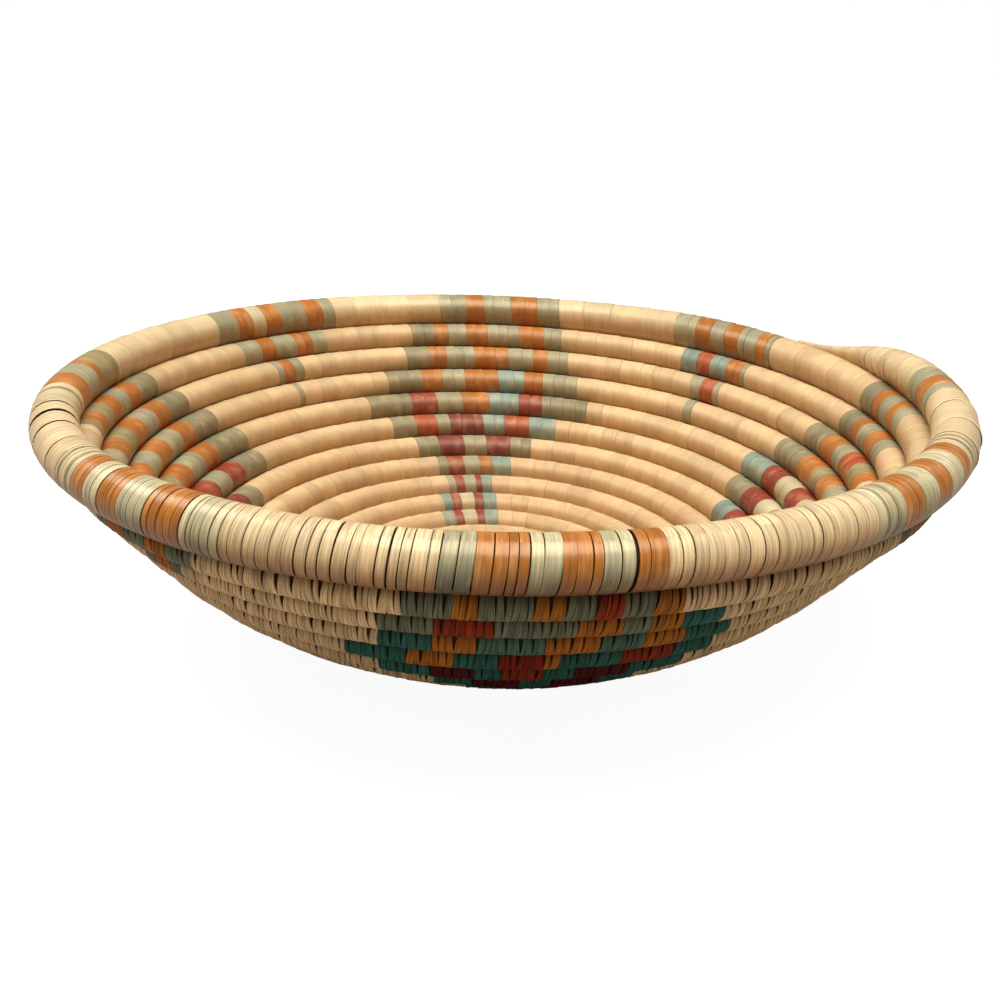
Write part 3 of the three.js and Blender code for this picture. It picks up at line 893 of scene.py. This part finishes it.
# Rim: the last turn, wrapped in bleached cane with eight groups of dyed stripes. Each motif is
# written as the azimuth that its row starts from and the widths of its stripes, in degrees.
MOTIFS = {
    "right": [
        (1.3, "sage 3.9, orange 3.3, sage 2.4"),
        (11.5, "moss 4, orange 2.5, sage 3, orange 2.5, sage 3"),
        (12, "moss 4.5, orange 2.5, sage 3.5, orange 4, sage 3.5"),
        (17, "moss 6, orange 5, sage 4, rust 5, olive 4, orange 4"),
        (21, "moss 9, orange 6, olive 4, orange 5, sage 4, orange 4, sage 4"),
        (26, "aqua 8, red 6, pale_sage 6, red 6, pale_sage 5, red 5, aqua 8"),
        (24, "moss 7, red 7, pale_sage 6, red 7, pale_sage 6, red 4, aqua 5"),
        (20, "aqua 6, red 6, aqua 6, red 6, aqua 8"),
        (14, "aqua 5, red 4, pale_sage 4, red 4, aqua 5"),
    ],
    "front_right": [
        (
            333.5,
            "olive 0.5, bleached 1, olive 0.45, bleached 0.9, olive 0.5, cream 1.35, orange 2.7, "
            "cream 3.9, orange 3.3, pale_sage 3.3, orange 3.5, pale_sage 1.2, olive 0.4, pale_sage 1.3, "
            "olive 0.35, cream 1.35",
        ),
        (334, "sage 3.5, orange 3, sage 3, orange 3, sage 3.5"),
        (329.3, "sage 2, orange 2.6, sage 2"),
    ],
    "front": [
        (284.6, "orange 2.68, gap 0.22, pale_sage 2.85, orange 3.45, pale_sage 2.75, orange 4.65, sage 3"),
        (288.1, "orange 3, sage 3.05, rust 2.6, sage 2.8, orange 3.05, sage 5.1, orange 2.5, sage 4.7"),
        (294.8, "teal 5, orange 3.4, sage 3.2, orange 4.6, sage 8.5, rust 6.2, sage 6"),
        (298.3, "teal 6, orange 5.2, aqua 5.1, orange 6.2, aqua 7.6, orange 5, teal 6.4"),
        (298.5, "teal 5.5, rust 7, teal 7.9, orange 1.8, red 5.6, teal 5.5, orange 6, teal 8"),
        (297, "teal 8.3, maroon 7.5, teal 4.5, rust 5.5, teal 3.6, maroon 6, teal 7.3"),
        (292, "teal 6, maroon 7, teal 5, maroon 7, teal 6"),
        (287.5, "teal 4.4, red 4.4, teal 4.4, red 4.4, teal 4.4"),
        (284, "teal 3, red 3, teal 3, red 3, teal 3"),
    ],
    "front_left": [
        (
            244.7,
            "gap 0.12, cream 1, pale_sage 2.58, cream 1, orange 4.72, gap 0.16, pale_sage 3.82, "
            "orange 3.2, gap 0.18, cream 2.7, orange 2.72, cream 1, olive 0.5, bleached 0.9, cream 0.6, "
            "olive 0.4, bleached 0.6",
        ),
        (238, "sage 4, orange 3.5, sage 4, orange 3.5, sage 3"),
        (232.5, "sage 2, orange 3, sage 2"),
    ],
    "left": [
        (196.5, "cream 1.6, olive 1.2, bleached 1.7, orange 5, sage 5, orange 1.8, olive 5.7"),
        (196, "bleached 2, olive 2, orange 4, olive 4, orange 4, sage 3.5, orange 4, moss 5.5"),
        (199.5, "sage 5.5, orange 5, olive 5, orange 5, sage 5, orange 4.5, moss 6.5"),
        (203.5, "sage 8, orange 6, sage 6, orange 6, sage 5.5, orange 5, moss 7.5"),
        (207.5, "sage 10, orange 6.5, olive 6, orange 7, sage 6.5, orange 6, moss 10"),
        (202.5, "sage 7, red 7, sage 6, red 7, sage 6, red 6, moss 8"),
        (197, "sage 6, maroon 7, pale_sage 5, maroon 7, moss 6"),
        (192.5, "sage 4.4, red 4.4, sage 4.4, red 4.4, aqua 4.4"),
        (189, "sage 3, red 3, sage 3, red 3, aqua 3"),
    ],
    "back_left": [
        (147.1, "sage 4.2, orange 3.1, cream 2.7, orange 3.2, sage 5.1, orange 3.5, sage 2.3"),
        (144.2, "sage 4.2, orange 3.2, sage 4.4, orange 3.6, sage 3"),
        (139.1, "sage 1.6, orange 2.5, sage 2"),
        (136.6, "sage 1.2"),
    ],
    "back": [
        (102.3, "sage 5, orange 3.4, sage 5.2, orange 4.8, sage 4.3"),
        (108.4, "moss 4.7, orange 2.7, sage 3.6, orange 4.2, sage 6.3, orange 4.9, sage 3.5"),
        (110.4, "moss 5, orange 3.6, sage 5.8, orange 7, sage 5.2, orange 3.1, sage 4.3"),
        (115.5, "moss 8, orange 4.3, sage 5, orange 7.3, aqua 5.8, orange 4, sage 7.7"),
        (121.4, "moss 10.3, red 6, sage 5.8, orange 6.4, aqua 7, red 5.3, moss 10.8"),
        (117.4, "moss 6, rust 5.4, sage 3.2, maroon 8.4, aqua 5.3, rust 6.2, aqua 6.7"),
        (112.8, "moss 6, maroon 7, sage 6, maroon 6.6, moss 5.6"),
        (108.4, "moss 3, red 4.7, sage 4.7, orange 3.7, aqua 5.6"),
        (107.4, "sage 2.6, red 3, sage 4, red 2, aqua 3.3"),
        (112, "aqua 4, red 3.5, pale_sage 5, red 3.5, aqua 5"),
        (115, "aqua 5, red 4, pale_sage 6, red 4, aqua 6"),
    ],
    "back_right": [
        (56.8, "sage 4.4, orange 3, sage 3, orange 3, sage 4, orange 2, sage 1.2"),
        (53.5, "aqua 3.4, rust 3, aqua 3.6, orange 3.4, sage 1"),
        (49.2, "sage 2.5, rust 3, sage 1.4"),
        (48.2, "sage 2.2"),
    ],
}


def turns_back(azimuth):
    return ((TAIL_AZIMUTH - azimuth) / 360) % 1


motif_cells = []
for motif, rows in MOTIFS.items():
    for row, (azimuth, stripes) in enumerate(rows):
        t = turns_back(azimuth) + row
        for stripe in stripes.split(", "):
            dye, degrees = stripe.split()
            motif_cells.append((t, t + float(degrees) / 360, dye, motif, row))
            t += float(degrees) / 360
motif_cells.sort()
ends = [0.0] + [cell[1] for cell in motif_cells]
starts = [cell[0] for cell in motif_cells] + [COIL_START]
plain_cells = []
for i, (low, high) in enumerate(zip(ends, starts)):
    if high - low > 1e-4:
        after = motif_cells[i][3] if i < len(motif_cells) else ""
        plain_cells.append((low, high, after))

# On the rim the strips are broad at the sides and the back, and fine along the front: their
# kind, pitch and slit, for the dyed strips of a motif and the natural ones before it.
RIM_STRIPS = {
    "right": ((3, 6.0, -0.5), (3, 6.0, -0.6)),
    "front_right": ((0, 2.6, 0.06), (3, 14.0, -0.8)),
    "front": ((0, 3.1, 0.09), (0, 3.3, 0.1)),
    "front_left": ((0, 2.2, 0.13), (0, 3.0, 0.11)),
    "left": ((3, 3.4, -0.4), (0, 9.4, 0.75)),
    "back_left": ((3, 5.0, -0.6), (3, 13.0, -0.7)),
    "back": ((3, 6.0, -0.6), (3, 14.0, -0.7)),
    "back_right": ((3, 5.0, -0.6), (3, 14.0, -0.7)),
}
for motif in MOTIFS:
    row_cells = [cell for cell in motif_cells if cell[3] == motif and cell[4] == 0]
    group = [(a, b, dye) for a, b, dye, _, _ in row_cells if dye != "gap"]
    strips = strips_along(group, *RIM_STRIPS[motif][0], 0.42)
    wrap("rim_stripes_" + motif, strips, "rim_motif_" + motif, slant=0.95, unequal=0.08)
for low, high, after in plain_cells:
    if low > 0.98:
        break
    label = "rim_natural_before_" + after if low > 0 else "rim_natural_tail"
    strips = strips_along([(low, high, "bleached")], *RIM_STRIPS[after][1])
    wrap(label.replace("rim_natural", "rim_plain"), strips, label, slant=0.95, unequal=0.08)


# Wall: four large stepped lozenges and four small triangles of dyed strips.
def wall_strips(cells, broad, fine):
    inside = strips_along(cells, 1, broad, -0.08 * broad)
    return inside + strips_along(cells, 2, fine, 0.0, 0.35) + strips_along(cells, 4, 5.0, -0.4)


for motif, rows in MOTIFS.items():
    lowest = 8 if len(rows) > 8 else 2
    own_cells = [cell for cell in motif_cells if cell[3] == motif and 1 <= cell[4] <= lowest]
    cells = [(a, b, dye) for a, b, dye, _, _ in own_cells]
    wrap("wall_stripes_" + motif, wall_strips(cells, 5.0, 1.65), "motif_" + motif)

# Plain panels of natural strips fill the wall between the lozenges. The tips of the two back
# triangles reach a row into them.
WALL_TURNS = 8.857
panels = {"front_right": [], "front_left": [], "back_left": [], "back_right": []}
base_cells = []
plain = [(low, high, "natural") for low, high, after in plain_cells if low > 0.98]
plain += [(a, b, dye) for a, b, dye, name, row in motif_cells if len(MOTIFS[name]) == 4 and row == 3]
plain += [(a, b, dye) for a, b, dye, name, row in motif_cells if row > 8]
for low, high, dye in plain:
    if high > WALL_TURNS:
        base_cells.append((max(low, WALL_TURNS), high, dye))
    if low >= WALL_TURNS:
        continue
    high = min(high, WALL_TURNS)
    azimuth = (TAIL_AZIMUTH - 360 * (low + high) / 2) % 360
    if azimuth < 5 or azimuth >= 276.5:
        panels["front_right"].append((low, high, dye))
    elif azimuth < 94.5:
        panels["back_right"].append((low, high, dye))
    elif azimuth < 181.5:
        panels["back_left"].append((low, high, dye))
    else:
        panels["front_left"].append((low, high, dye))
for name, cells in panels.items():
    wrap("wall_plain_" + name, wall_strips(cells, 8.5, 1.75), "natural_" + name)

# Base: plain turns down to the start, with the foot of the back lozenge on the first two. The
# strips get narrower as the turns get smaller.
BASE_STRETCHES = 7
BASE_PITCHES = ((8, 1.9), (8, 1.9), (7, 1.9), (5.5, 1.9), (4, 1.9), (3, 1.8), (2, 1.6))
for k in range(BASE_STRETCHES):
    low = WALL_TURNS + (COIL_START - WALL_TURNS) * k / BASE_STRETCHES
    high = WALL_TURNS + (COIL_START - WALL_TURNS) * (k + 1) / BASE_STRETCHES
    inside = [cell for cell in base_cells if cell[1] > low + 1e-5 and cell[0] < high - 1e-5]
    cells = [(max(a, low), min(b, high), dye) for a, b, dye in inside]
    number = f"{k + 1:02d}"
    first_turn = wrap("base_turn_" + number, wall_strips(cells, *BASE_PITCHES[k]), "base_row_" + number)

# Eye: a few natural strips laid across the first turn, over and under it, close the middle of
# the base. Each bulges a little, and its ends go into the turn.
EYE_STRIPS = 6
EYE_REACH = 4.8
EYE_STRIP_WIDTH = 1.8
EYE_STRIP_THICKNESS = 0.3
eye = bmesh.new()
eye.from_mesh(first_turn.data)
for side_up in (1, -1):
    for k in range(EYE_STRIPS):
        angle = math.pi * k / EYE_STRIPS
        ahead = Vector((math.cos(angle), math.sin(angle), 0))
        aside = Vector((-math.sin(angle), math.cos(angle), 0)) * EYE_STRIP_WIDTH / 2 * MM
        rings = []
        for x in (-1, -0.66, -0.33, 0, 0.33, 0.66, 1):
            height = REST_HEIGHT + side_up * (0.9 + 1.0 * (1 - x * x) + 0.07 * k)
            spot = AXIS + ahead * EYE_REACH * MM * x + Vector((0, 0, height * MM))
            thick = Vector((0, 0, EYE_STRIP_THICKNESS / 2 * MM))
            left, right = spot - aside, spot + aside
            corners = (left - thick, left + thick, right + thick, right - thick)
            rings.append([eye.verts.new(corner) for corner in corners])
        for low_ring, high_ring in zip(rings, rings[1:]):
            for i in range(4):
                j = (i + 1) % 4
                eye.faces.new((low_ring[i], high_ring[i], high_ring[j], low_ring[j]))
        eye.faces.new(rings[0])
        eye.faces.new(rings[-1][::-1])
eye.to_mesh(first_turn.data)
eye.free()

# Start knot: the bound end of the bundle, sage strips crossed over one another in the eye. They
# are drawn as closed loops that share their poles.
KNOT_LOOPS = 7
KNOT_SIDES = 20
KNOT_STRIP_WIDTH = 1.2
knot_low, knot_high = (Vector(v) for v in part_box("start_knot"))
knot_middle = (knot_low + knot_high) / 2
knot_half = (knot_high - knot_low) / 2
knot_points, knot_faces = [], []
for loop in range(KNOT_LOOPS):
    angle = math.pi * loop / KNOT_LOOPS
    side = Vector((math.cos(angle), math.sin(angle), 0))
    across_knot = Vector((-side.y, side.x, 0)) * KNOT_STRIP_WIDTH / 2 * MM
    first_point = len(knot_points)
    bulge = 0.97 + 0.01 * loop / KNOT_LOOPS
    for k in range(KNOT_SIDES):
        a = 2 * math.pi * k / KNOT_SIDES
        up = Vector((0, 0, math.sin(a) * knot_half.z * bulge))
        spot = knot_middle + side * (math.cos(a) * knot_half.x * bulge) + up
        knot_points += [tuple(spot - across_knot), tuple(spot + across_knot)]
    for k in range(KNOT_SIDES):
        a, b = first_point + 2 * k, first_point + 2 * ((k + 1) % KNOT_SIDES)
        knot_faces.append((a, b, b + 1, a + 1))
knot_mesh = bpy.data.meshes.new("start_binding")
knot_mesh.from_pydata(knot_points, [], knot_faces)
knot_mesh.uv_layers.new(name="strip")
knot_mesh.materials.append(smooth_cane[DYE_ORDER.index("sage")])
knot = new_piece("start_binding", knot_mesh, "start_knot")
thick = knot.modifiers.new("thickness", "SOLIDIFY")
thick.thickness = 0.0004
thick.offset = 0
